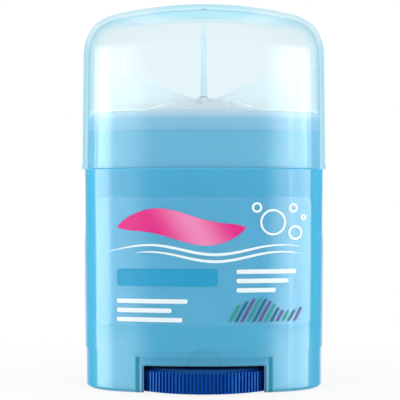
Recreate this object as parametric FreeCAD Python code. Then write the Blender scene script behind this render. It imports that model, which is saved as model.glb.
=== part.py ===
"""Solid deodorant stick in its travel size: a turn-up barrel with a clear cap over it.

X runs across the width, the front faces -Y and Z goes up from the table. The origin is the
centre of the foot. Every size is in millimetres.
"""
import FreeCAD
import Part

import math
import os

Vector = FreeCAD.Vector

# Plan of the foot: an oval of four tangent arcs. Every other plan outline runs at a constant
# distance from it, outside (positive) or inside (negative).
half_width = 23.25
half_depth = 13.0
face_radius = 48.0

# Barrel, from the table up
floor_bottom = 5.2
floor_thickness = 1.7
step_z = 7.84
shoulder_z = 42.7
neck_height = 10.8
body_offset_low = 0.22
body_offset_high = 0.56
neck_offset = -0.31
bore_offset = -1.31
foot_wall = 1.2
foot_round = 0.7
body_edge_round = 0.25
neck_edge_round = 0.3

# Windows for the dial in the front and back of the foot, and the round well that the dial turns in
window_half = 11.4
frame_width = 1.5
well_clearance = 0.5
well_wall = 1.0
boss_radius = 3.36
boss_relief = 0.6

# Dial
dial_radius = 15.5
dial_bottom = 0.25
rib_top = 4.15
rib_count = 136
rib_depth = 0.42
rib_tip_share = 0.34
rib_root_share = 0.3
dial_top = 4.7
dial_bevel = 0.5
dial_rim_wall = 1.3
dial_web = 1.2
hub_radius = 4.0
spoke_count = 6
spoke_thickness = 1.0
spoke_lift = 1.0
thrust_gap = 0.05

# Lead screw, which is one moulding with the dial
journal_radius = 2.95
journal_clearance = 0.05
snap_lip = 0.3
snap_height = 0.9
snap_gap = 0.05
core_radius = 2.05
crest_radius = 2.75
screw_pitch = 2.8
thread_root_width = 1.3
thread_crest_width = 0.7
thread_start = 9.0
thread_end = 35.2
screw_top = 36.4
screw_tip_bevel = 0.5
thread_clearance = 0.1

# Elevator, the platform that carries the product
elevator_top = 37.6
platform_thickness = 1.3
skirt_drop = 8.9
skirt_wall = 0.9
slide_clearance = 0.08
stem_radius = 4.4
stem_foot_gap = 0.05
stem_clearance = 0.25
nut_start = 2.3
nut_length = 6.4
web_thickness = 0.9
web_depth = 5.0
fin_height = 3.0
fin_length = 7.0
fin_thickness = 0.9
fin_places = (-13.0, -7.0, 7.0, 13.0)

# Product
product_clearance = 0.1
product_edge_round = 0.9
crown_edge_round = 0.7

# Factory seal over the product
plug_depth = 3.7
plug_wall = 0.8
plug_clearance = 0.08
seal_seat_gap = 0.05
flange_thickness = 0.5
flange_inset = 0.3
mound_half_width = 12.6
mound_half_depth = 8.4
mound_height = 2.75
mound_wall = 0.6
wing_top = 6.7
wing_slope = 0.436
wing_inner = 2.4
wing_outer = 19.1
wing_thickness = 1.0
wing_bend_radius = 6.5
wing_corner_radius = 0.6
tab_height = 13.7
tab_half_width = 6.2
tab_top_thickness = 1.0
tab_foot_thickness = 1.5
tab_corner_radius = 2.5
tab_boss_radius = 1.25

# Cap
cap_top = 74.57
cap_wall = 0.95
cap_offset_rim = 0.82
cap_offset_top = 0.44
cap_seat_gap = 0.05
cap_crown_radius = 84.0
cap_corner_width = 5.0
cap_corner_height = 7.2
rim_bead_height = 0.7
rim_bead = 0.12
gate_radius = 0.6
gate_depth = 0.15

# Labels: a clear film on the front and the back
label_bottom = 12.8
label_top = 37.2
label_inset = 2.65
label_corner = 1.2
film_gap = 0.01
film_thickness = 0.08
print_gap = 0.005
print_thickness = 0.04

# Print on the front label: a wave ribbon, wave lines and bubbles above a banner, plain bars and stripes
left_margin = 4.0
right_margin = 3.0
wave_length = 25.0
ribbon_inset = 12.6
ribbon_z = 31.5
ribbon_swing = 1.2
ribbon_width = 5.4
wave_line_z = 27.2
wave_line_swing = 0.9
wave_line_pitch = 1.3
wave_line_width = 0.55
wave_line_step = 5.5
wave_line_count = 2
wave_line_margin = 2.0
wave_steps = 12
wave_point = 0.6
bubble_stroke = 0.42
bubbles = (
    (7.5, 32.4, 2.5),
    (3.2, 30.4, 1.4),
    (10.6, 35.2, 1.0),
    (3.6, 35.1, 0.9),
    (1.6, 33.3, 0.6),
)
banner_gap = 3.5
banner_bottom = 20.3
banner_height = 3.3
banner_corner = 0.8
bar_height = 0.85
bar_corner = 0.34
bar_pitch = 1.75
side_bars_top = 23.5
side_bars = (11.5, 10.0, 7.5)
foot_bars_top = 17.9
foot_bars = (13.5, 10.5, 12.5)
stripe_count = 12
stripe_run = 13.0
stripe_pitch = 1.12
stripe_width = 0.56
stripe_slant = 0.55
stripe_bottom = 13.6
stripe_height = 3.2
stripe_swing = 1.3

# Print on the back label: a banner above two columns of plain bars
back_margin = 5.0
back_banner_bottom = 31.2
back_column_gap = 3.0
back_bars_top = 28.6
back_bar_rows = 8
back_bar_short = 2.6

end_radius = (half_width ** 2 + (face_radius - half_depth) ** 2 - face_radius ** 2) / (
    2 * (half_width - face_radius)
)
end_centre = half_width - end_radius
face_centre = face_radius - half_depth
floor_top = floor_bottom + floor_thickness
neck_top = shoulder_z + neck_height
frame_half = window_half + frame_width
well_radius = dial_radius + well_clearance
hole_radius = journal_radius + journal_clearance
nut_bottom = floor_top + nut_start
nut_top = nut_bottom + nut_length
platform_bottom = elevator_top - platform_thickness
flange_bottom = neck_top + seal_seat_gap
flange_top = flange_bottom + flange_thickness
plug_bottom = neck_top - plug_depth
mound_top = flange_top + mound_height
cap_bottom = shoulder_z + cap_seat_gap
label_half_width = half_width - label_inset
print_left = left_margin - label_half_width
print_right = label_half_width - right_margin
side_bars_left = print_right - max(side_bars)
back_reach = label_half_width - back_margin
elevator_offset = bore_offset - slide_clearance
product_offset = bore_offset - product_clearance
plug_offset = bore_offset - plug_clearance
plug_inner_offset = plug_offset - plug_wall
skirt_bottom = elevator_top - skirt_drop
beyond = 2 * half_width
overshoot = 1.0
overlap = 0.3
tolerance = 1e-4


def oval(offset, z):
    """The plan outline at a distance from the foot's outline."""
    face = face_radius + offset
    end = end_radius + offset
    reach = math.hypot(end_centre, face_centre)
    join_x = end_centre * face / reach
    join_y = face_centre * face / reach - face_centre
    tip_x = end_centre + end
    tip_y = face - face_centre
    left_front = Vector(-join_x, -join_y, z)
    right_front = Vector(join_x, -join_y, z)
    right_back = Vector(join_x, join_y, z)
    left_back = Vector(-join_x, join_y, z)
    arcs = [
        Part.Arc(left_front, Vector(0, -tip_y, z), right_front),
        Part.Arc(right_front, Vector(tip_x, 0, z), right_back),
        Part.Arc(right_back, Vector(0, tip_y, z), left_back),
        Part.Arc(left_back, Vector(-tip_x, 0, z), left_front),
    ]
    return Part.Wire([arc.toShape() for arc in arcs])


def prism(offset, bottom, top):
    """Upright solid of the plan at one distance."""
    return Part.Face(oval(offset, bottom)).extrude(Vector(0, 0, top - bottom))


def taper(low_offset, bottom, high_offset, top):
    """Solid whose plan changes evenly from one distance to another, as the draft of a moulding does."""
    return Part.makeLoft([oval(low_offset, bottom), oval(high_offset, top)], True, True)


def ring(radius, wall, bottom, top):
    """Tube that stands on the centre line."""
    outer = post(radius, bottom, top)
    return outer.cut(post(radius - wall, bottom, top))


def post(radius, bottom, top):
    """Cylinder that stands on the centre line."""
    return Part.makeCylinder(radius, top - bottom, Vector(0, 0, bottom))


def cone(low_radius, high_radius, bottom, top):
    """Cone that stands on the centre line."""
    return Part.makeCone(low_radius, high_radius, top - bottom, Vector(0, 0, bottom))


def block(x_from, x_to, y_from, y_to, z_from, z_to):
    """Box between two corners."""
    corner = Vector(x_from, y_from, z_from)
    return Part.makeBox(x_to - x_from, y_to - y_from, z_to - z_from, corner)


def edges_at(shape, z):
    """Edges that lie flat at one height."""
    found = []
    for edge in shape.Edges:
        box = edge.BoundBox
        if abs(box.ZMin - z) < tolerance and abs(box.ZMax - z) < tolerance:
            found.append(edge)
    return found


def across(points, thickness):
    """Plate from an outline in the XZ plane, centred on Y = 0."""
    corners = [Vector(x, -thickness / 2, z) for x, z in points]
    outline = Part.makePolygon(corners + corners[:1])
    return Part.Face(outline).extrude(Vector(0, thickness, 0))


def edges_along_y(shape, x, z):
    """Edges of a plate that run along Y at one corner of its outline."""
    found = []
    for edge in shape.Edges:
        box = edge.BoundBox
        if max(box.XLength, box.ZLength) < tolerance:
            if math.hypot(box.XMin - x, box.ZMin - z) < tolerance:
                found.append(edge)
    return found


def make_barrel():
    """Blue translucent moulding: foot with the dial's windows, body with a step, neck for the cap."""
    foot = prism(0, 0, step_z)
    foot = foot.makeFillet(foot_round, edges_at(foot, 0))
    body = taper(body_offset_low, step_z, body_offset_high, shoulder_z)
    body = body.makeFillet(body_edge_round, edges_at(body, shoulder_z))
    neck = prism(neck_offset, step_z, neck_top)
    neck = neck.makeFillet(neck_edge_round, edges_at(neck, neck_top))
    shell = foot.fuse([body, neck])
    bore = prism(bore_offset, floor_top, neck_top + overshoot)
    well = post(well_radius + well_wall, -overshoot, floor_bottom)
    frame = block(-frame_half, frame_half, -beyond, beyond, -overshoot, floor_bottom)
    lobes = prism(-foot_wall, -overshoot, floor_bottom).cut(well.fuse(frame))
    window = block(-window_half, window_half, -beyond, beyond, -overshoot, floor_bottom)
    dial_space = post(well_radius, -overshoot, floor_bottom)
    hole = post(hole_radius, 0, floor_top + overshoot)
    shell = shell.cut([bore, lobes, window, dial_space, hole])
    return shell.fuse(barrel_bosses())


def barrel_bosses():
    """Half-round pads inside the front and back walls, centred on the windows' upper edges."""
    top = floor_top + boss_radius
    lining = prism(bore_offset + overlap, floor_top - overlap, top)
    lining = lining.cut(prism(bore_offset - boss_relief, 0, top + overshoot))
    rod = Part.makeCylinder(boss_radius, 2 * beyond, Vector(0, -beyond, floor_bottom), Vector(0, 1, 0))
    return lining.common(rod)


def rib_outline():
    """Outline of the knurled rim: one trapezoid for each rib."""
    pitch = 2 * math.pi / rib_count
    points = []
    for rib in range(rib_count):
        middle = (rib + 0.5) * pitch
        corners = (
            (dial_radius - rib_depth, -(1 - rib_root_share) / 2),
            (dial_radius, -rib_tip_share / 2),
            (dial_radius, rib_tip_share / 2),
            (dial_radius - rib_depth, (1 - rib_root_share) / 2),
        )
        for radius, share in corners:
            angle = middle + share * pitch
            points.append(Vector(radius * math.cos(angle), radius * math.sin(angle), dial_bottom))
    return Part.makePolygon(points + points[:1])


def make_dial_and_screw():
    """Navy moulding: knurled dial, hub, snap-in journal and lead screw."""
    root_radius = dial_radius - rib_depth
    rim = Part.Face(rib_outline()).extrude(Vector(0, 0, rib_top - dial_bottom))
    rim = rim.fuse(cone(root_radius, root_radius - dial_bevel, rib_top, dial_top))
    web_bottom = dial_top - dial_web
    cup = post(root_radius - dial_rim_wall, dial_bottom - overshoot, web_bottom)
    dial = rim.cut(cup)
    spokes = post(hub_radius, dial_bottom, web_bottom)
    for turn in range(spoke_count):
        half = spoke_thickness / 2
        spoke = block(0, root_radius - dial_rim_wall / 2, -half, half, dial_bottom + spoke_lift, web_bottom)
        spoke.rotate(Vector(0, 0, 0), Vector(0, 0, 1), turn * 360 / spoke_count)
        spokes = spokes.fuse(spoke)
    collar = post(hub_radius, dial_top, floor_bottom - thrust_gap)
    snap_bottom = floor_top + snap_gap
    journal = post(journal_radius, dial_top - dial_web / 2, snap_bottom)
    snap = cone(journal_radius + snap_lip, core_radius, snap_bottom, snap_bottom + snap_height)
    core = post(core_radius, snap_bottom, screw_top - screw_tip_bevel)
    tip = cone(core_radius, core_radius - screw_tip_bevel, screw_top - screw_tip_bevel, screw_top)
    dial = dial.fuse([spokes, collar, journal, snap, core, tip])
    return dial.fuse(thread(thread_start, thread_end, 0)).removeSplitter()


def thread(bottom, top, clearance):
    """Left-hand ridge of the lead screw, grown by a clearance for the groove that runs on it."""
    root = thread_root_width / 2 + clearance
    crest = thread_crest_width / 2 + clearance
    inside = core_radius - overlap
    outside = crest_radius + clearance
    slope = (root - crest) / (crest_radius - core_radius)
    foot = root + slope * (core_radius - inside)
    corners = [
        Vector(inside, 0, bottom - foot),
        Vector(outside, 0, bottom - crest),
        Vector(outside, 0, bottom + crest),
        Vector(inside, 0, bottom + foot),
    ]
    profile = Part.makePolygon(corners + corners[:1])
    spine = Part.makeHelix(screw_pitch, top - bottom, core_radius)
    spine.translate(Vector(0, 0, bottom))
    ridge = Part.Wire(spine).makePipeShell([profile], True, True)
    return ridge.mirror(Vector(0, 0, 0), Vector(0, 1, 0))


def make_elevator():
    """Platform with a skirt that slides in the bore, a hollow stem with the nut, webs and fins."""
    platform = prism(elevator_offset, skirt_bottom, elevator_top)
    hollow = prism(elevator_offset - skirt_wall, 0, platform_bottom)
    stem_foot = floor_top + stem_foot_gap
    stem = post(stem_radius, stem_foot, elevator_top)
    half_web = web_thickness / 2
    web_bottom = platform_bottom - web_depth
    webs = block(-beyond, beyond, -half_web, half_web, web_bottom, elevator_top)
    webs = webs.fuse(block(-half_web, half_web, -beyond, beyond, web_bottom, elevator_top))
    webs = webs.common(prism(elevator_offset - skirt_wall / 2, 0, elevator_top))
    body = platform.cut(hollow).fuse([stem, webs, product_fins(0)])
    clear_radius = crest_radius + stem_clearance
    foot_space = post(journal_radius + snap_lip + stem_clearance, 0, nut_bottom)
    upper_space = post(clear_radius, nut_top, screw_top + stem_clearance)
    nut_bore = post(core_radius + thread_clearance, 0, screw_top)
    groove = thread(thread_start - screw_pitch, thread_end, thread_clearance)
    groove = groove.common(post(stem_radius, nut_bottom - overshoot, nut_top + overshoot))
    return body.cut([foot_space, upper_space, nut_bore]).cut(groove)


def product_fins(clearance):
    """Upright fins that key the product to the platform, grown by a clearance for their slots."""
    fins = []
    for x in fin_places:
        half_thickness = fin_thickness / 2 + clearance
        half_length = fin_length / 2 + clearance
        height = elevator_top + fin_height + clearance
        fins.append(
            block(x - half_thickness, x + half_thickness, -half_length, half_length, platform_bottom, height)
        )
    return Part.makeCompound(fins)


def mound(half_x, half_y, height, bottom):
    """Low dome: a slice of a ball, flattened along Y."""
    ball_radius = (half_x ** 2 + height ** 2) / (2 * height)
    ball = Part.makeSphere(ball_radius)
    squeeze = FreeCAD.Matrix()
    squeeze.A22 = half_y / half_x
    ball = ball.transformGeometry(squeeze)
    ball.translate(Vector(0, 0, bottom + height - ball_radius))
    return ball.common(block(-beyond, beyond, -beyond, beyond, bottom, bottom + 2 * height))


def make_deodorant_stick():
    """White solid product, cast in the bore and under the seal."""
    body = prism(product_offset, elevator_top, plug_bottom - product_clearance)
    body = body.makeFillet(product_edge_round, edges_at(body, plug_bottom - product_clearance))
    crown_top = neck_top - product_clearance
    crown = prism(plug_inner_offset - product_clearance, elevator_top, crown_top)
    crown = crown.makeFillet(crown_edge_round, edges_at(crown, crown_top))
    dome_half = mound_half_width - mound_wall - product_clearance
    dome_depth = mound_half_depth - mound_wall - product_clearance
    dome_height = mound_top - mound_wall - product_clearance - crown_top
    dome = mound(dome_half, dome_depth, dome_height, crown_top)
    return body.fuse([crown, dome]).cut(product_fins(0))


def make_factory_seal():
    """Uncoloured cover over the product: plug, flange, mound, two stiffening wings and a pull tab."""
    flange = prism(neck_offset - flange_inset, flange_bottom, flange_top)
    plug = prism(plug_offset, plug_bottom, flange_bottom)
    dome = mound(mound_half_width, mound_half_depth, mound_height, flange_top)
    shell = flange.fuse([plug, dome, seal_wings(), seal_tab()])
    hollow = prism(plug_inner_offset, plug_bottom - overshoot, flange_bottom)
    inner_height = mound_top - mound_wall - flange_bottom
    inner_dome = mound(
        mound_half_width - mound_wall, mound_half_depth - mound_wall, inner_height, flange_bottom
    )
    return shell.cut([hollow, inner_dome])


def seal_wings():
    """Plates across the width whose upper edges fall towards the middle."""
    top = flange_top + wing_top
    inner_z = mound_top
    bend_x = wing_inner + (top - inner_z) / wing_slope
    outline = [
        (wing_inner, flange_bottom),
        (wing_inner, inner_z),
        (bend_x, top),
        (wing_outer, top),
        (wing_outer, flange_bottom),
    ]
    right = across(outline, wing_thickness)
    right = right.makeFillet(wing_bend_radius, edges_along_y(right, bend_x, top))
    right = right.makeFillet(wing_corner_radius, edges_along_y(right, wing_outer, top))
    left = right.mirror(Vector(0, 0, 0), Vector(1, 0, 0))
    middle = block(-wing_inner, wing_inner, -wing_thickness / 2, wing_thickness / 2, flange_bottom, inner_z)
    return right.fuse([left, middle])


def seal_tab():
    """Pull tab that stands along Y, thicker at its foot, with a small round boss there."""
    top = mound_top + tab_height
    outline = [
        (-tab_foot_thickness / 2, flange_bottom),
        (tab_foot_thickness / 2, flange_bottom),
        (tab_top_thickness / 2, top),
        (-tab_top_thickness / 2, top),
    ]
    wedge = across(outline, 2 * beyond)
    face = block(-beyond, beyond, -tab_half_width, tab_half_width, flange_bottom, top)
    corners = []
    for edge in face.Edges:
        box = edge.BoundBox
        if box.XLength > beyond and abs(box.ZMin - top) < tolerance:
            corners.append(edge)
    face = face.makeFillet(tab_corner_radius, corners)
    boss = Part.makeSphere(tab_boss_radius, Vector(0, 0, mound_top))
    boss = boss.common(post(tab_boss_radius, flange_top, mound_top + tab_boss_radius))
    return wedge.common(face).fuse(boss)


def domed(rim_offset, top_offset, bottom, top, crown_radius, corner_width, corner_height):
    """Upright solid with a shallow crown and an elliptical corner round it.

    The corner is higher than it is wide. It is rounded with one radius on a flattened solid,
    which is then stretched to its height.
    """
    stretch = corner_height / corner_width
    sides = taper(rim_offset, bottom / stretch, top_offset, top / stretch)
    ball_radius = crown_radius * stretch
    ball = Part.makeSphere(ball_radius, Vector(0, 0, top / stretch - ball_radius))
    solid = sides.common(ball)
    crown_edges = []
    for edge in solid.Edges:
        box = edge.BoundBox
        if box.ZMin > (bottom + top) / (2 * stretch) and box.XLength + box.YLength > overlap:
            crown_edges.append(edge)
    solid = solid.makeFillet(corner_width, crown_edges)
    pull = FreeCAD.Matrix()
    pull.A33 = stretch
    return solid.transformGeometry(pull)


def make_cap():
    """Clear domed cap with a small bead round its rim and the gate's mark on its crown."""
    outer = domed(
        cap_offset_rim,
        cap_offset_top,
        cap_bottom,
        cap_top,
        cap_crown_radius,
        cap_corner_width,
        cap_corner_height,
    )
    inner = domed(
        cap_offset_rim - cap_wall,
        cap_offset_top - cap_wall,
        cap_bottom - overshoot,
        cap_top - cap_wall,
        cap_crown_radius - cap_wall,
        cap_corner_width - cap_wall,
        cap_corner_height - cap_wall,
    )
    bead = prism(cap_offset_rim + rim_bead, cap_bottom, cap_bottom + rim_bead_height)
    bead = bead.makeFillet(rim_bead, edges_at(bead, cap_bottom + rim_bead_height))
    cap = outer.fuse(bead).cut(inner)
    moat = ring(gate_radius, gate_radius / 2, cap_top - gate_depth, cap_top + overshoot)
    return cap.cut(moat)


def skin(lift, thickness):
    """Layer that follows the body's wall at a distance from it."""
    inner = taper(body_offset_low + lift, step_z, body_offset_high + lift, shoulder_z)
    low = body_offset_low + lift + thickness
    high = body_offset_high + lift + thickness
    return taper(low, step_z, high, shoulder_z).cut(inner)


def facing(face, side, layer):
    """Part of a layer that lies behind a flat outline, on the front (-1) or the back (1)."""
    return layer.common(face.extrude(Vector(0, side * beyond, 0)))


def outline_face(edges):
    """Flat face inside a closed outline in the XZ plane."""
    return Part.Face(Part.Wire(edges))


def rounded_bar(x_from, x_to, z_from, z_to, radius):
    """Flat bar in the XZ plane with rounded corners."""
    plate = block(x_from, x_to, 0, 1, z_from, z_to)
    corners = [edge for edge in plate.Edges if edge.BoundBox.YLength > tolerance]
    plate = plate.makeFillet(radius, corners)
    return min(plate.Faces, key=lambda face: face.CenterOfMass.y)


def wave(x_from, x_to, middle_z, swing, width):
    """Band that follows a sine wave and tapers to a point at both ends."""
    upper = []
    lower = []
    for step in range(wave_steps + 1):
        share = step / wave_steps
        x = x_from + share * (x_to - x_from)
        z = middle_z + swing * math.sin(2 * math.pi * (x - print_left) / wave_length)
        half = width / 2 * abs(math.sin(math.pi * share)) ** wave_point
        upper.append(Vector(x, 0, z + half))
        lower.append(Vector(x, 0, z - half))
    edges = []
    for line in (upper, lower[::-1]):
        curve = Part.BSplineCurve()
        curve.interpolate(line)
        edges.append(curve.toShape())
    return outline_face(edges)


def wave_lines():
    """Thin lines under the ribbon, each one shorter at its left end."""
    lines = []
    for number in range(wave_line_count):
        x_from = wave_line_margin - label_half_width + number * wave_line_step
        z = wave_line_z - number * wave_line_pitch
        x_to = label_half_width - wave_line_margin
        lines.append(wave(x_from, x_to, z, wave_line_swing, wave_line_width))
    return lines


def bubble(inset, z, radius):
    """Ring of print, placed from the label's right edge."""
    middle = Vector(label_half_width - inset, 0, z)
    outer = Part.Face(Part.Wire(Part.makeCircle(radius, middle, Vector(0, 1, 0))))
    inner = Part.Face(Part.Wire(Part.makeCircle(radius - bubble_stroke, middle, Vector(0, 1, 0))))
    return outer.cut(inner)


def bars(x_from, lengths, top):
    """Rows of plain bars under each other."""
    rows = []
    for row, length in enumerate(lengths):
        z = top - row * bar_pitch
        rows.append(rounded_bar(x_from, x_from + length, z - bar_height, z, bar_corner))
    return rows


def stripe(number):
    """Slanted bar whose height follows a wave along the row."""
    x = print_right - stripe_run + number * stripe_pitch
    rise = 2 * math.pi * number / stripe_count
    height = stripe_height + stripe_swing * math.sin(rise)
    corners = [
        Vector(x, 0, stripe_bottom),
        Vector(x + stripe_width, 0, stripe_bottom),
        Vector(x + stripe_width + stripe_slant * height, 0, stripe_bottom + height),
        Vector(x + stripe_slant * height, 0, stripe_bottom + height),
    ]
    return Part.Face(Part.makePolygon(corners + corners[:1]))


def front_white():
    """White print of the front label."""
    fields = wave_lines() + [bubble(*place) for place in bubbles]
    fields += bars(side_bars_left, side_bars, side_bars_top)
    return fields + bars(print_left, foot_bars, foot_bars_top)


def banner(x_from, x_to, bottom):
    """Rounded field of colour."""
    return rounded_bar(x_from, x_to, bottom, bottom + banner_height, banner_corner)


def back_bars():
    """Two columns of bars on the back label, the last row of each column shorter."""
    length = back_reach - back_column_gap / 2
    lengths = [length] * (back_bar_rows - 1) + [length - back_bar_short]
    return bars(-back_reach, lengths, back_bars_top) + bars(back_column_gap / 2, lengths, back_bars_top)


def make_labels():
    """Both films and the fields of print on them, each print a node of one colour."""
    film = skin(film_gap, film_thickness)
    sheet = rounded_bar(-label_half_width, label_half_width, label_bottom, label_top, label_corner)
    ink = skin(film_gap + film_thickness + print_gap, print_thickness)
    ribbon = wave(print_left, label_half_width - ribbon_inset, ribbon_z, ribbon_swing, ribbon_width)
    prints = {
        "front_ribbon_print": (-1, [ribbon]),
        "front_white_print": (-1, front_white()),
        "front_banner_print": (-1, [banner(print_left, side_bars_left - banner_gap, banner_bottom)]),
        "back_banner_print": (1, [banner(-back_reach, back_reach, back_banner_bottom)]),
        "back_bar_print": (1, back_bars()),
    }
    for colour, first in (("green", 0), ("teal", 1), ("plum", 2)):
        stripes = [stripe(number) for number in range(first, stripe_count, 3)]
        prints["front_" + colour + "_stripes"] = (-1, stripes)
    labels = {"front_label": facing(sheet, -1, film), "back_label": facing(sheet, 1, film)}
    for name, (side, faces) in prints.items():
        labels[name] = Part.makeCompound([facing(face, side, ink) for face in faces])
    return labels


parts = {
    "barrel": make_barrel(),
    "dial_and_screw": make_dial_and_screw(),
    "elevator": make_elevator(),
    "deodorant_stick": make_deodorant_stick(),
    "factory_seal": make_factory_seal(),
    "cap": make_cap(),
}
parts.update(make_labels())

os.makedirs("parts", exist_ok=True)
for name, shape in parts.items():
    print(name, len(shape.Solids), shape.isValid(), round(shape.Volume, 3))
    shape.exportStep("parts/" + name + ".step")
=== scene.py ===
"""Looks of the solid deodorant stick around its packed construction. Lengths are in metres."""

import math

import bpy
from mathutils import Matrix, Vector

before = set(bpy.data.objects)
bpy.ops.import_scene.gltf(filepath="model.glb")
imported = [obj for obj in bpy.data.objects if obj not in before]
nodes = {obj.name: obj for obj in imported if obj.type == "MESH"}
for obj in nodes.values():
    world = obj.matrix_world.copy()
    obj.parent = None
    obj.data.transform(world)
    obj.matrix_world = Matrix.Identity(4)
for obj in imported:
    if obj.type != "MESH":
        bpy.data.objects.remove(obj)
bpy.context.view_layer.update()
scene = bpy.context.scene

MM = 0.001

# Camera: level, straight at the front
IMAGE_PX = 400
CAMERA_DISTANCE = 258 * MM
CAMERA_HEIGHT = 36.6 * MM
CAMERA_SIDE = -0.77 * MM
CAMERA_CLIP = 10 * MM
FOCAL_PX = 1300
SENSOR_MM = 36
LEVEL = math.radians(90)

# Studio: strengths at which a colour renders about as it is written
WORLD_LIGHT = 0.22
WHITE = 1.0
SIDE_LIGHT = 0.25
BACKDROP_HALF = 0.30
BACKDROP_FADE = 0.75
NO_BOUNCE = 0.5
TOP_LAMP = {"location": (0, -0.06, 0.5), "target": (0, 0, 0.036), "size": (0.5, 0.4), "radiance": 2.0}
BACK_FILL = {"location": (0, 0.45, 0.16), "target": (0, 0, 0.04), "size": (0.6, 0.3), "radiance": 1.1}

# Softboxes: the directions of their two ends from the camera's side, in degrees, and shares of their
# strength at places across the width, from the back end of the left one and the front end of the right one
SOFTBOX_DISTANCE = 0.34
SOFTBOX_LOW = -0.045
SOFTBOX_HIGH = 0.125
SOFTBOX_TOP_FADE = (0.82, 1.0)
SOFTBOX_TINT = (0.88, 0.98, 1.0)
LEFT_SOFTBOX = {
    "side": -1,
    "angles": (15, 102),
    "radiance": 6.2,
    "shares": ((0.0, 0.0), (0.07, 0.9), (0.38, 1.0), (0.54, 0.4), (0.66, 0.4), (0.86, 0.0)),
}
RIGHT_SOFTBOX = {
    "side": 1,
    "angles": (24, 96),
    "radiance": 6.5,
    "shares": ((0.09, 0.0), (0.37, 0.95), (0.46, 0.72), (0.9, 0.85), (1.0, 0.0)),
}

# Table
FLOOR_SIZE = 6
FLOOR_FADE = (30 * MM, 100 * MM)
FLOOR_SHADOW_SHARE = 0.16
TABLE_WHITE = (0.92, 0.92, 0.92)

# Places on the object, from its construction
FLOOR_TOP = 6.9 * MM
FLOOR_BOTTOM = 5.2 * MM
FRAME_HALF = 12.9 * MM
WINDOW_HALF = 11.4 * MM
BOSS_RADIUS = 3.36 * MM
LENS_MIDDLE = 17.0 * MM
LENS_TOP = 1.7 * MM
LENS_BEND = 60.0
RIB_TOP = 4.15 * MM
SKIRT_BOTTOM = 28.7 * MM
SHOULDER = 42.7 * MM
PLUG_BOTTOM = 49.8 * MM
NECK_TOP = 53.5 * MM

# Noise: nearly all of its values lie in this range
NOISE_RANGE = (0.2, 0.8)
GRAIN_DETAIL = 3.0

# Barrel: borders of its tones, each from where it starts to where it ends
NECK_BORDER = (SHOULDER - 0.1 * MM, SHOULDER + 0.1 * MM)
PLUG_BORDER = (PLUG_BOTTOM - 0.1 * MM, PLUG_BOTTOM + 0.1 * MM)
RIM_BORDER = (NECK_TOP - 1.8 * MM, NECK_TOP)
PLUG_SHADE_BORDER = (PLUG_BOTTOM, PLUG_BOTTOM + 0.9 * MM)
SEAM = (PLUG_BOTTOM - 0.25 * MM, PLUG_BOTTOM)
SEAM_BLUR = 0.1 * MM
SKIRT_BORDER = (SKIRT_BOTTOM - 0.3 * MM, SKIRT_BOTTOM)
LOBE_TOP_BORDER = (8 * MM, 15 * MM)
LOBE_SIDE_BORDER = (8 * MM, 16 * MM)
END_BORDER = (20.2 * MM, 21.6 * MM)
FOOT_BORDER = (FLOOR_TOP - 0.15 * MM, FLOOR_TOP + 0.1 * MM)
FRAME_BORDER = (FRAME_HALF - 0.1 * MM, FRAME_HALF + 0.2 * MM)
SILL_BORDER = (FLOOR_BOTTOM, FLOOR_TOP)
JAMB = (WINDOW_HALF + 0.82 * MM, FRAME_HALF + 0.15 * MM)
JAMB_BLUR = 0.15 * MM
CHEEK_BORDER = (WINDOW_HALF + 0.4 * MM, WINDOW_HALF + 0.55 * MM)
STREAK = (WINDOW_HALF + 0.58 * MM, WINDOW_HALF + 0.74 * MM)
STREAK_BLUR = 0.06 * MM
UNDER_BORDER = (FLOOR_BOTTOM - 0.2 * MM, FLOOR_BOTTOM + 0.4 * MM)
BOSS_BORDER = (BOSS_RADIUS - 0.1 * MM, BOSS_RADIUS + 0.15 * MM)
# Ring of painted shadow inside the boss's rim
BOSS_SHADOW_RING = (BOSS_RADIUS - 0.9 * MM, BOSS_RADIUS)
LENS_BORDER = (LENS_TOP - 0.25 * MM, LENS_TOP)
LENS_SIDE_BORDER = (FRAME_HALF, FRAME_HALF + 0.5 * MM)

# Barrel: its tones, some of them painted light and shade, and the shares of them that show
WALL_BLUE = (0.04, 0.36, 0.57)
WALL_BLUES = ((0.029, 0.334, 0.555), (0.033, 0.349, 0.58))
# Partly painted light: the neck under the cap, lightened and greyed by the cap's painted haze
NECK_AND_HAZE_TONE = (0.112, 0.322, 0.44)
NECK_SHARE = 0.85
PLUG_TONE = (0.44, 0.50, 0.56)
RIM_SHARES = (0.25, 0.95)
# Dark line at the plug's lower edge, and the painted shade just above it
SEAM_AND_SHADE_TONE = (0.04, 0.23, 0.40)
SEAM_SHARE = 0.45
PLUG_SHADE_SHARES = (0.3, 0.0)
LOW_TONE = (0.07, 0.48, 0.68)
LOW_SHARE = 0.16
# Painted light: lighter low on the sides, where the lobes lie beside the dial's well
LOBE_LIGHT_TONE = (0.22, 0.56, 0.72)
LOBE_LIGHT_SHARE = 0.4
# Painted light: the two ends of the oval, lighter and bluer as if lit through the wall's edge
END_LIGHT_TONE = (0.04, 0.445, 0.71)
# Darker frame where the floor stands behind the wall, with painted shadow along its top edge and round the
# boss
DEEP_SHADE_TONE = (0.012, 0.23, 0.40)
SILL_SHADE_SHARES = (0.25, 0.55)
# The well's jamb walls behind the wall, painted darker as shade
JAMB_SHADE_TONE = (0.012, 0.21, 0.34)
JAMB_SHADE_SHARE = 0.8
# Painted shade in the window's side walls
CHEEK_SHADE_TONE = (0.006, 0.11, 0.22)
CHEEK_SHADE_SHARE = 0.9
# Painted highlight: a light streak where the wall's edge beside the window catches light
STREAK_HIGHLIGHT_TONE = (0.26, 0.60, 0.72)
STREAK_HIGHLIGHT_SHARE = 0.6
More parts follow.
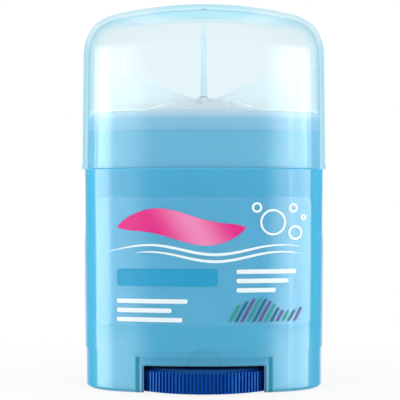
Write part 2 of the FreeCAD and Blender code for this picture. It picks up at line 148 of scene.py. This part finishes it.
# Painted shadow along the boss's rim
BOSS_SHADOW_SHARES = (0.03, 0.35)
LENS_TONE = (0.02, 0.25, 0.42)
LENS_SHARE = 0.22
NECK_DULLNESS = 0.7

# Dial
DIAL_NAVY = (0.001, 0.022, 0.15)
DIAL_NAVIES = ((0.0003, 0.043, 0.31), (0.0006, 0.051, 0.36))
DIAL_GLOSS_TINT = (0.09, 0.50, 1.0, 1)
DIAL_ROUGHNESS = (0.15, 0.22)
BEVEL_BORDER = (RIB_TOP - 0.1 * MM, RIB_TOP + 0.1 * MM)
# Painted shade: the dial's bevel, under the window's top, is darker
BEVEL_SHADE_TONE = (0.0004, 0.022, 0.13)
BEVEL_ROUGHNESS = 0.3

# Cap: borders of its tint, by place and by how far the wall turns away from the eye
CAP_CLEAR = (0.985, 0.995, 0.995)
CAP_TINT = (0.31, 0.72, 0.87)
CAP_GLOSS_TINT = (0.95, 0.98, 0.99, 1)
EVEN_BLEND = 0.5
CAP_END_BORDER = (22.9 * MM, 23.2 * MM)
CAP_END_SHARE = 0.9
CAP_CROWN_BORDER = (73.2 * MM, 74.2 * MM)
CAP_FACE_SIDE_BORDER = (19 * MM, 21 * MM)
CAP_FACE_TOP_BORDER = (66 * MM, 69 * MM)
CAP_FACE_SHARES = (0.7, 1.0)
OUTLINE_TURN = (0.3, 0.7)
WALL_TURN = (0.35, 0.95)
GLOSS_TURN = (0.45, 0.85)
GLOSS_WEIGHTS = (1.0, 0.05)
GATE_BORDER = (0.7 * MM, 0.9 * MM)
GATE_LOW_BORDER = (72 * MM, 73 * MM)
GATE_TONE = (0.25, 0.36, 0.42)
GATE_SHARE = 0.6

# Seal
SEAL_NATURAL = (0.73, 0.77, 0.79)
MOUND_TONE = (0.58, 0.62, 0.65)
MOUND_BEND = 26.0
MOUND_BORDER = (56.4 * MM, 57.0 * MM)
TAB_TONE = (0.50, 0.62, 0.64)
TAB_LOW_BORDER = (56.6 * MM, 57.2 * MM)
TAB_SIDE_BORDER = (0.7 * MM, 0.9 * MM)
TAB_ROOT_HEIGHT = 55.6 * MM
TAB_ROOT_ARC = (0.95 * MM, 1.15 * MM)
TAB_ROOT_BLUR = 0.1 * MM
TAB_ROOT_LOW_BORDER = (0.3 * MM, 0.6 * MM)
TAB_ROOT_TONE = (0.04, 0.07, 0.09)
TAB_ROOT_SHARE = 0.9

# Elevator, product and label film
PLATFORM_WHITE = (0.80, 0.83, 0.84)
PRODUCT_WHITE = (0.90, 0.91, 0.89)
FILM_BLUE = (0.12, 0.68, 0.98)
FILM_BLUES = ((0.11, 0.66, 0.95), (0.13, 0.70, 1.0))

# Inks, and the print that each one colours
INK_SHADE = 0.92
INKS = {
    "white": (0.9, 0.94, 0.96),
    "teal": (0.01, 0.33, 0.58),
    "green": (0.02, 0.30, 0.26),
    "deep_teal": (0.01, 0.13, 0.22),
    "plum": (0.13, 0.07, 0.26),
}
PRINTS = {
    "front_white_print": "white",
    "back_bar_print": "white",
    "front_banner_print": "teal",
    "back_banner_print": "teal",
    "front_green_stripes": "green",
    "front_teal_stripes": "deep_teal",
    "front_plum_stripes": "plum",
}
RIBBON_INK = (0.75, 0.02, 0.25)
RIBBON_MAGENTA = (0.78, 0.008, 0.22)
RIBBON_PINK = (0.95, 0.30, 0.55)
RIBBON_SLANT = 0.6
RIBBON_PALE = (14 * MM, 20 * MM)
RIBBON_BLUR = 5 * MM


def link(tree, source, target):
    """Joins a socket to a socket, or sets it to a number."""
    if isinstance(source, (int, float)):
        target.default_value = source
    else:
        tree.links.new(source, target)


def calculate(tree, operation, *values):
    """A sum, product or other step between factors and numbers."""
    node = tree.nodes.new("ShaderNodeMath")
    node.operation = operation
    for value, socket in zip(values, node.inputs):
        link(tree, value, socket)
    return node.outputs[0]


def ramp(tree, value, start, end, low=0.0, high=1.0, shape="SMOOTHSTEP"):
    """Maps a range of a value to another range, held at both ends."""
    node = tree.nodes.new("ShaderNodeMapRange")
    node.interpolation_type = shape
    node.inputs["From Min"].default_value = start
    node.inputs["From Max"].default_value = end
    node.inputs["To Min"].default_value = low
    node.inputs["To Max"].default_value = high
    link(tree, value, node.inputs["Value"])
    return node.outputs[0]


def separate(tree, vector):
    """The three parts of a vector."""
    node = tree.nodes.new("ShaderNodeSeparateXYZ")
    tree.links.new(vector, node.inputs[0])
    return node.outputs


def blend(tree, factor, first, second):
    """Shader between two shaders."""
    node = tree.nodes.new("ShaderNodeMixShader")
    tree.links.new(factor, node.inputs[0])
    tree.links.new(first.outputs[0], node.inputs[1])
    tree.links.new(second.outputs[0], node.inputs[2])
    return node


def direct_rays(tree, path):
    """1 for the rays that haven't yet left a matt surface. Their count of such bounces is below a half."""
    return calculate(tree, "LESS_THAN", path.outputs["Diffuse Depth"], NO_BOUNCE)


def make_camera():
    """A long lens level with the lower half of the stick."""
    data = bpy.data.cameras.new("camera")
    data.sensor_width = SENSOR_MM
    data.lens = FOCAL_PX / IMAGE_PX * SENSOR_MM
    data.clip_start = CAMERA_CLIP
    camera = bpy.data.objects.new("camera", data)
    camera.location = (CAMERA_SIDE, -CAMERA_DISTANCE, CAMERA_HEIGHT)
    camera.rotation_euler = (LEVEL, 0, 0)
    scene.collection.objects.link(camera)
    scene.camera = camera


def make_lamp(name, location, target, size, radiance):
    """Soft rectangular lamp aimed at a point."""
    data = bpy.data.lights.new(name, "AREA")
    data.shape = "RECTANGLE"
    data.size, data.size_y = size
    data.energy = radiance * math.pi * size[0] * size[1]
    lamp = bpy.data.objects.new(name, data)
    lamp.location = location
    direction = Vector(target) - Vector(location)
    lamp.rotation_euler = direction.to_track_quat("-Z", "Y").to_euler()
    scene.collection.objects.link(lamp)
    return lamp


def grade_lamp(data, shares):
    """Gives a lamp its shares of strength across its width, and fades it out towards its top."""
    data.color = SOFTBOX_TINT
    data.use_nodes = True
    tree = data.node_tree
    place = tree.nodes.new("ShaderNodeNewGeometry")
    across, up, _ = separate(tree, place.outputs["Parametric"])
    grades = tree.nodes.new("ShaderNodeValToRGB")
    grades.color_ramp.interpolation = "EASE"
    stops = grades.color_ramp.elements
    while len(stops) < len(shares):
        stops.new(1.0)
    for stop, (spot, share) in zip(stops, shares):
        stop.position = spot
        stop.color = (share, share, share, 1)
    tree.links.new(across, grades.inputs["Fac"])
    top = ramp(tree, up, *SOFTBOX_TOP_FADE, 1.0, 0.0, "LINEAR")
    strength = calculate(tree, "MULTIPLY", grades.outputs[0], top)
    tree.links.new(strength, tree.nodes["Emission"].inputs["Strength"])


def make_softbox(name, side, angles, radiance, shares):
    """Upright softbox beside the object, between two directions."""
    ends = []
    for angle in angles:
        turn = math.radians(angle)
        ends.append(Vector((side * math.sin(turn), -math.cos(turn), 0)) * SOFTBOX_DISTANCE)
    middle = (ends[0] + ends[1]) / 2
    middle.z = (SOFTBOX_LOW + SOFTBOX_HIGH) / 2
    size = ((ends[0] - ends[1]).length, SOFTBOX_HIGH - SOFTBOX_LOW)
    lamp = make_lamp(name, middle, (0, 0, middle.z), size, radiance)
    grade_lamp(lamp.data, shares)


def make_background(tree, strength):
    """White light of one strength from all around."""
    node = tree.nodes.new("ShaderNodeBackground")
    node.inputs["Color"].default_value = (1, 1, 1, 1)
    node.inputs["Strength"].default_value = strength
    return node


def make_world():
    """Even studio light. The backdrop is white for the camera and for what shines or is clear."""
    world = bpy.data.worlds.new("studio")
    scene.world = world
    world.use_nodes = True
    tree = world.node_tree
    tree.nodes.clear()
    output = tree.nodes.new("ShaderNodeOutputWorld")
    light = make_background(tree, WORLD_LIGHT)
    side = make_background(tree, SIDE_LIGHT)
    white = make_background(tree, WHITE)
    direction = tree.nodes.new("ShaderNodeTexCoord")
    across = calculate(tree, "ABSOLUTE", separate(tree, direction.outputs["Generated"])["X"])
    middle = ramp(tree, across, BACKDROP_FADE, BACKDROP_HALF)
    shining = blend(tree, middle, side, white)
    path = tree.nodes.new("ShaderNodeLightPath")
    direct = direct_rays(tree, path)
    glossy = calculate(tree, "MULTIPLY", direct, path.outputs["Is Glossy Ray"])
    clear = calculate(tree, "MULTIPLY", direct, path.outputs["Is Transmission Ray"])
    lit = blend(tree, glossy, light, shining)
    lit = blend(tree, clear, lit, white)
    lit = blend(tree, path.outputs["Is Camera Ray"], lit, white)
    tree.links.new(lit.outputs[0], output.inputs[0])


def backdrop_rays(tree):
    """1 for the rays that show the white background, and 0 for those that light the object."""
    path = tree.nodes.new("ShaderNodeLightPath")
    seen = calculate(tree, "MAXIMUM", path.outputs["Is Camera Ray"], path.outputs["Is Glossy Ray"])
    seen = calculate(tree, "MAXIMUM", seen, path.outputs["Is Transmission Ray"])
    return calculate(tree, "MULTIPLY", seen, direct_rays(tree, path))


class Surface:
    """A material built on one principled shader, with its detail worked out from object coordinates."""

    def __init__(self, name, colour, **values):
        self.material = bpy.data.materials.new(name)
        self.material.use_nodes = True
        self.tree = self.material.node_tree
        self.shader = self.tree.nodes["Principled BSDF"]
        self.output = self.tree.nodes["Material Output"]
        self.shader.inputs["Base Color"].default_value = (*colour, 1)
        for socket, value in values.items():
            self.shader.inputs[socket.replace("_", " ")].default_value = value
        self.coords = self.tree.nodes.new("ShaderNodeTexCoord").outputs["Object"]

    def set(self, socket, source):
        """Gives one of the shader's sockets a factor or a colour."""
        link(self.tree, source, self.shader.inputs[socket])

    def math(self, operation, *values):
        """A sum, product or other step between factors and numbers."""
        return calculate(self.tree, operation, *values)

    def product(self, first, *others):
        """Product of factors and numbers."""
        for other in others:
            first = self.math("MULTIPLY", first, other)
        return first

    def without(self, factor):
        """What a factor leaves of 1."""
        return self.math("SUBTRACT", 1.0, factor)

    def distance(self, first, second):
        """Distance from the origin of two places at right angles."""
        squares = (self.math("POWER", first, 2.0), self.math("POWER", second, 2.0))
        return self.math("SQRT", self.math("ADD", *squares))

    def place(self, axis):
        """Place along an axis, in metres."""
        return separate(self.tree, self.coords)[axis]

    def across(self):
        """Distance to the left or right of the middle."""
        return self.math("ABSOLUTE", self.place("X"))

    def ramp(self, value, start, end, low=0.0, high=1.0):
        """Maps a range of a value softly to another range, held at both ends."""
        return ramp(self.tree, value, start, end, low, high)

    def fall(self, value, start, end):
        """Soft step from 1 to 0."""
        return self.ramp(value, start, end, 1.0, 0.0)

    def inside(self, value, low, high, blur):
        """1 between two places and 0 outside, with a soft border."""
        rise = self.ramp(value, low - blur, low + blur)
        return self.product(rise, self.fall(value, high - blur, high + blur))

    def noise(self, scale, detail=2.0):
        """Noise whose features are scale metres across."""
        mapping = self.tree.nodes.new("ShaderNodeMapping")
        mapping.inputs["Scale"].default_value = (1 / scale, 1 / scale, 1 / scale)
        link(self.tree, self.coords, mapping.inputs["Vector"])
        texture = self.tree.nodes.new("ShaderNodeTexNoise")
        texture.inputs["Scale"].default_value = 1
        texture.inputs["Detail"].default_value = detail
        link(self.tree, mapping.outputs[0], texture.inputs["Vector"])
        return texture.outputs["Fac"]

    def mix(self, factor, first, second):
        """Colour between two colours."""
        node = self.tree.nodes.new("ShaderNodeMix")
        node.data_type = "RGBA"
        for socket, value in ((node.inputs[6], first), (node.inputs[7], second)):
            if isinstance(value, tuple):
                socket.default_value = (*value, 1)
            else:
                link(self.tree, value, socket)
        link(self.tree, factor, node.inputs[0])
        return node.outputs[2]

    def tint(self, base, tone, *factors):
        """Colour drawn towards a tone by the product of some factors."""
        return self.mix(self.product(*factors), base, tone)

    def grain(self, scale, low, high):
        """Fine uneven factor between two values."""
        return self.ramp(self.noise(scale, GRAIN_DETAIL), *NOISE_RANGE, low, high)

    def roughness(self, scale, low, high):
        """Uneven roughness between two values."""
        self.set("Roughness", self.grain(scale, low, high))

    def bump(self, scale, detail, depth):
        """Fine unevenness of the surface."""
        node = self.tree.nodes.new("ShaderNodeBump")
        node.inputs["Distance"].default_value = depth
        node.inputs["Strength"].default_value = 1.0
        link(self.tree, self.noise(scale, detail), node.inputs["Height"])
        self.set("Normal", node.outputs[0])


def neck_tones(s, base, height, neck):
    """The neck, lightened with the cap's painted haze, and the seal's plug and rim behind its upper part,
    with painted shade just above the plug's lower edge.
    """
    # Painted haze of the cap over the neck
    base = s.tint(base, NECK_AND_HAZE_TONE, neck, NECK_SHARE)
    plug = s.ramp(height, *PLUG_BORDER)
    base = s.tint(base, PLUG_TONE, plug, s.ramp(height, *RIM_BORDER, *RIM_SHARES))
    # Painted shade just above the plug's lower edge
    shade = s.product(plug, s.ramp(height, *PLUG_SHADE_BORDER, *PLUG_SHADE_SHARES))
    seam = s.product(s.inside(height, *SEAM, SEAM_BLUR), SEAM_SHARE)
    return s.tint(base, SEAM_AND_SHADE_TONE, s.math("MAXIMUM", seam, shade))


def body_tones(s, base, height, across, neck):
    """The empty space under the elevator, painted light low on the sides where the lobes lie beside the
    dial's well, and painted light at the two ends of the oval.
    """
    base = s.tint(base, LOW_TONE, s.fall(height, *SKIRT_BORDER), LOW_SHARE)
    # Painted light low on the sides
    lit_lobes = s.product(s.fall(height, *LOBE_TOP_BORDER), s.ramp(across, *LOBE_SIDE_BORDER))
    base = s.tint(base, LOBE_LIGHT_TONE, lit_lobes, LOBE_LIGHT_SHARE)
    # Painted light at the two ends of the oval, off the neck
    return s.tint(base, END_LIGHT_TONE, s.ramp(across, *END_BORDER), s.without(neck))


def foot_tones(s, base, height, across, jamb, foot):
    """The floor's edge with a painted shadow along its top and round its boss, the window's jambs in painted
    shade with their cheeks in painted shade and a painted highlight streak, and the hollows' curved tops.
    """
    # Painted shadow, darkest along the top of the floor's edge
    sill_shade = s.ramp(height, *SILL_BORDER, *SILL_SHADE_SHARES)
    base = s.tint(base, DEEP_SHADE_TONE, foot, s.fall(across, *FRAME_BORDER), sill_shade)
    # Painted shade on the jambs
    base = s.tint(base, JAMB_SHADE_TONE, jamb, JAMB_SHADE_SHARE)
    under = s.fall(height, *UNDER_BORDER)
    # Painted shade in the window's side walls
    base = s.tint(base, CHEEK_SHADE_TONE, foot, s.fall(across, *CHEEK_BORDER), under, CHEEK_SHADE_SHARE)
    # Painted highlight streak beside the window
    base = s.tint(base, STREAK_HIGHLIGHT_TONE, under, s.inside(across, *STREAK, STREAK_BLUR), STREAK_HIGHLIGHT_SHARE)
    reach = s.distance(s.math("SUBTRACT", height, FLOOR_BOTTOM), across)
    # Painted shadow along the boss's rim
    base = s.tint(base, DEEP_SHADE_TONE, s.fall(reach, *BOSS_BORDER), s.ramp(reach, *BOSS_SHADOW_RING, *BOSS_SHADOW_SHARES))
    bend = s.math("POWER", s.math("SUBTRACT", across, LENS_MIDDLE), 2.0)
    lens = s.fall(s.math("ADD", height, s.product(bend, LENS_BEND)), *LENS_BORDER)
    return s.tint(base, LENS_TONE, lens, s.ramp(across, *LENS_SIDE_BORDER), LENS_SHARE)


def barrel_surface():
    """Milky blue moulding. What stands close behind the wall shows through it as a change of tone, and light
    and shade are painted into it at the neck, the ends, the lower sides and round the window.
    """
    gloss = {"Coat_Roughness": 0.11, "Coat_IOR": 1.5, "Specular_IOR_Level": 0.3}
    s = Surface("barrel_blue", WALL_BLUE, IOR=1.45, **gloss)
    height = s.place("Z")
    across = s.across()
    neck = s.ramp(height, *NECK_BORDER)
    foot = s.fall(height, *FOOT_BORDER)
    jamb = s.product(foot, s.inside(across, *JAMB, JAMB_BLUR))
    base = s.mix(s.noise(6 * MM), *WALL_BLUES)
    base = neck_tones(s, base, height, neck)
    base = body_tones(s, base, height, across, neck)
    s.set("Base Color", foot_tones(s, base, height, across, jamb, foot))
    s.set("Coat Weight", s.without(s.math("MAXIMUM", s.product(neck, NECK_DULLNESS), jamb)))
    s.roughness(scale=1.5 * MM, low=0.34, high=0.44)
    s.bump(scale=0.5 * MM, detail=3.0, depth=0.002 * MM)
    return s.material


def dial_surface():
    """Navy moulding whose bevel is duller than its rim and darker with painted shade under the window's top.
    """
    s = Surface("dial_navy", DIAL_NAVY, IOR=1.6, Specular_Tint=DIAL_GLOSS_TINT)
    bevel = s.ramp(s.place("Z"), *BEVEL_BORDER)
    base = s.mix(s.noise(3 * MM), *DIAL_NAVIES)
    # Painted shade on the bevel
    s.set("Base Color", s.tint(base, BEVEL_SHADE_TONE, bevel))
    grain = s.grain(1 * MM, *DIAL_ROUGHNESS)
    s.set("Roughness", s.math("ADD", grain, s.product(bevel, BEVEL_ROUGHNESS)))
    s.bump(scale=0.3 * MM, detail=4.0, depth=0.004 * MM)
    return s.material


def cap_surface():
    """Clear moulding whose faint blue tint grows where its wall turns away, at its ends and its crown."""
    gloss = {"Coat_IOR": 1.33, "Coat_Roughness": 0.03, "Coat_Tint": CAP_GLOSS_TINT}
    s = Surface("cap_clear", (1.0, 1.0, 1.0), IOR=1.0, Transmission_Weight=1.0, **gloss)
    height = s.place("Z")
    across = s.across()
    layer = s.tree.nodes.new("ShaderNodeLayerWeight")
    layer.inputs["Blend"].default_value = EVEN_BLEND
    turn = layer.outputs["Facing"]
    end = s.product(s.ramp(across, *CAP_END_BORDER), CAP_END_SHARE)
    outer = s.math("MAXIMUM", end, s.ramp(height, *CAP_CROWN_BORDER))
    outer = s.product(outer, s.ramp(turn, *OUTLINE_TURN))
    face = s.product(s.fall(across, *CAP_FACE_SIDE_BORDER), s.fall(height, *CAP_FACE_TOP_BORDER))
    wall = s.product(s.ramp(turn, *WALL_TURN), s.ramp(face, 0.0, 1.0, *CAP_FACE_SHARES))
    base = s.mix(s.math("MAXIMUM", wall, outer), CAP_CLEAR, CAP_TINT)
    reach = s.distance(s.place("X"), s.place("Y"))
    gate = s.product(s.fall(reach, *GATE_BORDER), s.ramp(height, *GATE_LOW_BORDER))
    s.set("Base Color", s.tint(base, GATE_TONE, gate, GATE_SHARE))
    s.set("Coat Weight", s.ramp(turn, *GLOSS_TURN, *GLOSS_WEIGHTS))
    s.roughness(scale=2 * MM, low=0.01, high=0.03)
    s.bump(scale=4 * MM, detail=1.0, depth=0.003 * MM)
    return s.material


def seal_surface():
    """Uncoloured moulding that lets part of the light through, with a dark line at its tab's root."""
    s = Surface("seal_natural", SEAL_NATURAL, IOR=1.49, Alpha=0.55)
    height = s.place("Z")
    across = s.across()
    dome = s.math("ADD", height, s.product(s.math("POWER", across, 2.0), MOUND_BEND))
    base = s.mix(s.ramp(dome, *MOUND_BORDER), MOUND_TONE, SEAL_NATURAL)
    base = s.tint(base, TAB_TONE, s.ramp(height, *TAB_LOW_BORDER), s.fall(across, *TAB_SIDE_BORDER))
    rise = s.math("SUBTRACT", height, TAB_ROOT_HEIGHT)
    arc = s.inside(s.distance(rise, across), *TAB_ROOT_ARC, TAB_ROOT_BLUR)
    base = s.tint(base, TAB_ROOT_TONE, arc, s.ramp(rise, *TAB_ROOT_LOW_BORDER), TAB_ROOT_SHARE)
    s.set("Base Color", base)
    s.roughness(scale=1.5 * MM, low=0.25, high=0.38)
    s.bump(scale=0.4 * MM, detail=4.0, depth=0.004 * MM)
    return s.material


def platform_surface():
    """Plain uncoloured moulding."""
    s = Surface("platform_white", PLATFORM_WHITE, IOR=1.49)
    s.roughness(scale=1.5 * MM, low=0.4, high=0.5)
    s.bump(scale=0.4 * MM, detail=4.0, depth=0.006 * MM)
    return s.material


def product_surface():
    """White waxy solid with a soft sheen."""
    s = Surface("product_white", PRODUCT_WHITE, Subsurface_Weight=0.3, Subsurface_Scale=1 * MM)
    s.roughness(scale=2 * MM, low=0.4, high=0.55)
    s.bump(scale=0.8 * MM, detail=5.0, depth=0.02 * MM)
    return s.material


def film_surface():
    """Clear film whose gloss lies over the blue of the wall behind it."""
    gloss = {"Coat_Weight": 1.0, "Coat_Roughness": 0.08, "Coat_IOR": 2.0}
    s = Surface("label_film", FILM_BLUE, IOR=1.45, Alpha=0.18, **gloss)
    s.set("Base Color", s.mix(s.noise(9 * MM), *FILM_BLUES))
    s.roughness(scale=3 * MM, low=0.18, high=0.26)
    s.bump(scale=5 * MM, detail=1.0, depth=0.004 * MM)
    return s.material


def ink_surface(name, colour):
    """Printed ink, slightly uneven in its colour."""
    s = Surface(name, colour, IOR=1.45)
    darker = tuple(INK_SHADE * part for part in colour)
    s.set("Base Color", s.mix(s.noise(0.5 * MM, 4.0), darker, colour))
    s.roughness(scale=1 * MM, low=0.28, high=0.36)
    s.bump(scale=0.15 * MM, detail=3.0, depth=0.003 * MM)
    return s


def ribbon_surface():
    """Magenta ink that pales to pink in a slanted band."""
    s = ink_surface("ink_magenta", RIBBON_INK)
    slant = s.math("ADD", s.place("X"), s.product(s.place("Z"), RIBBON_SLANT))
    pale = s.inside(slant, *RIBBON_PALE, RIBBON_BLUR)
    s.set("Base Color", s.mix(pale, RIBBON_MAGENTA, RIBBON_PINK))
    return s.material


def dress(name, material):
    """Gives a node of the construction its finish."""
    node = nodes[name]
    node.data.materials.clear()
    node.data.materials.append(material)


def make_floor():
    """Plain white table that keeps the object's shadow and fades into the white backdrop."""
    bpy.ops.mesh.primitive_plane_add(size=FLOOR_SIZE)
    floor = bpy.context.object
    floor.name = "floor"
    floor.visible_glossy = False
    s = Surface("table_white", TABLE_WHITE, Roughness=0.9)
    white = s.tree.nodes.new("ShaderNodeEmission")
    white.inputs["Color"].default_value = (1, 1, 1, 1)
    white.inputs["Strength"].default_value = WHITE
    length = s.tree.nodes.new("ShaderNodeVectorMath")
    length.operation = "LENGTH"
    link(s.tree, s.coords, length.inputs[0])
    share = s.ramp(length.outputs["Value"], *FLOOR_FADE, FLOOR_SHADOW_SHARE, 0.0)
    plain = s.product(s.without(share), backdrop_rays(s.tree))
    link(s.tree, blend(s.tree, plain, s.shader, white).outputs[0], s.output.inputs["Surface"])
    floor.data.materials.append(s.material)


make_camera()
make_world()
make_floor()
make_softbox("softbox_left", **LEFT_SOFTBOX)
make_softbox("softbox_right", **RIGHT_SOFTBOX)
make_lamp("top_lamp", **TOP_LAMP)
back_fill = make_lamp("back_fill", **BACK_FILL)
back_fill.visible_camera = False
back_fill.visible_transmission = False

dress("barrel", barrel_surface())
dress("dial_and_screw", dial_surface())
dress("cap", cap_surface())
nodes["cap"].visible_shadow = False
dress("factory_seal", seal_surface())
dress("elevator", platform_surface())
dress("deodorant_stick", product_surface())
film = film_surface()
dress("front_label", film)
dress("back_label", film)
dress("front_ribbon_print", ribbon_surface())
inks = {name: ink_surface("ink_" + name, colour).material for name, colour in INKS.items()}
for print_name, ink in PRINTS.items():
    dress(print_name, inks[ink])

scene.view_settings.view_transform = "Standard"
